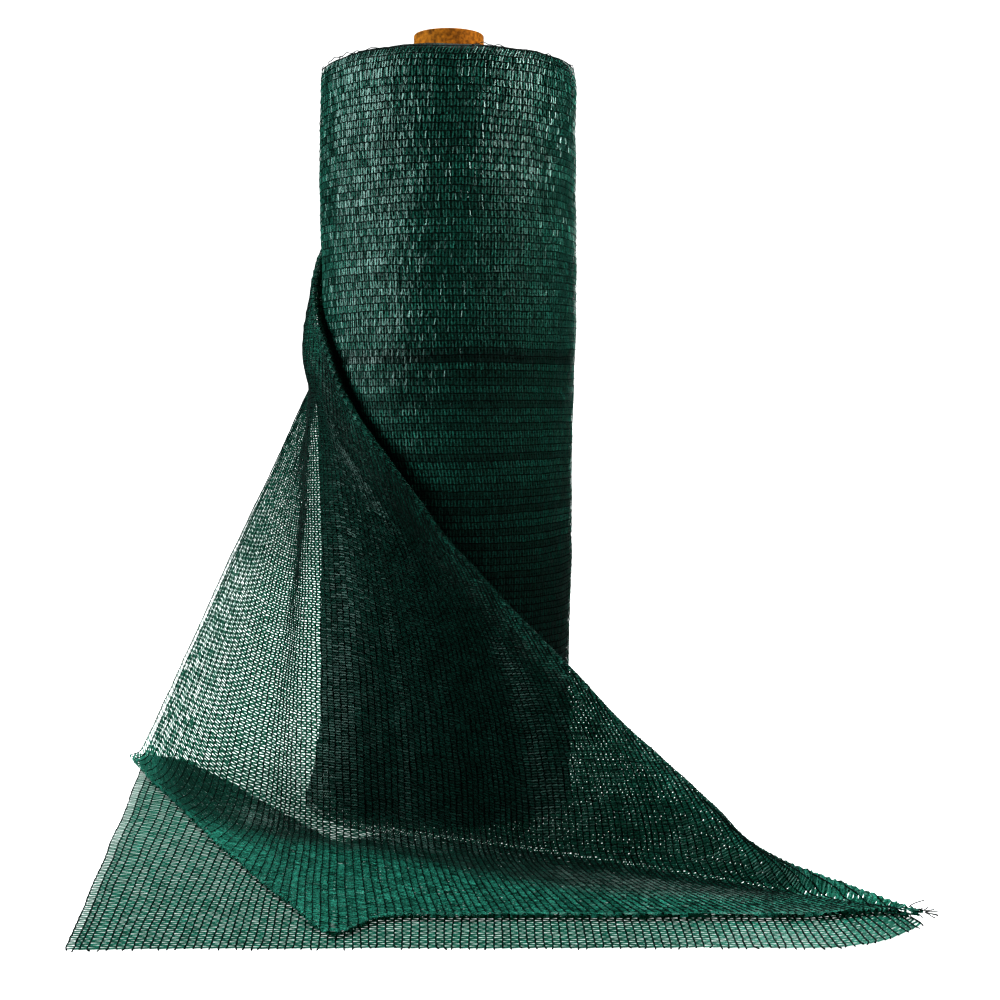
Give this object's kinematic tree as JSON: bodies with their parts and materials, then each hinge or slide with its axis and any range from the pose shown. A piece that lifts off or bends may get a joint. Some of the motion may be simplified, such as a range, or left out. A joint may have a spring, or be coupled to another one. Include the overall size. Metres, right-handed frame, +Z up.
{
  "type": "roll of shade netting",
  "caption": "Roll of green knitted shade netting wound on a cardboard core and stood on end, its loose end folded over on the diagonal and laid out in front.",
  "frame": {"origin": "middle of the footprint's bounding box, on the floor under the roll", "axes": "+Z up along the roll's axis, the loose end lies towards -Y and its tip points to +X"},
  "size_m": [1.0298, 0.7608, 1.05],
  "materials": {
    "net": "knitted tape and thread, slightly glossy, open mesh",
    "core": "matt wound board"
  },
  "bodies": {
    "root": {"core_tube": "core", "netting_roll": "net", "loose_sheet": "net"}
  },
  "joints": []
}
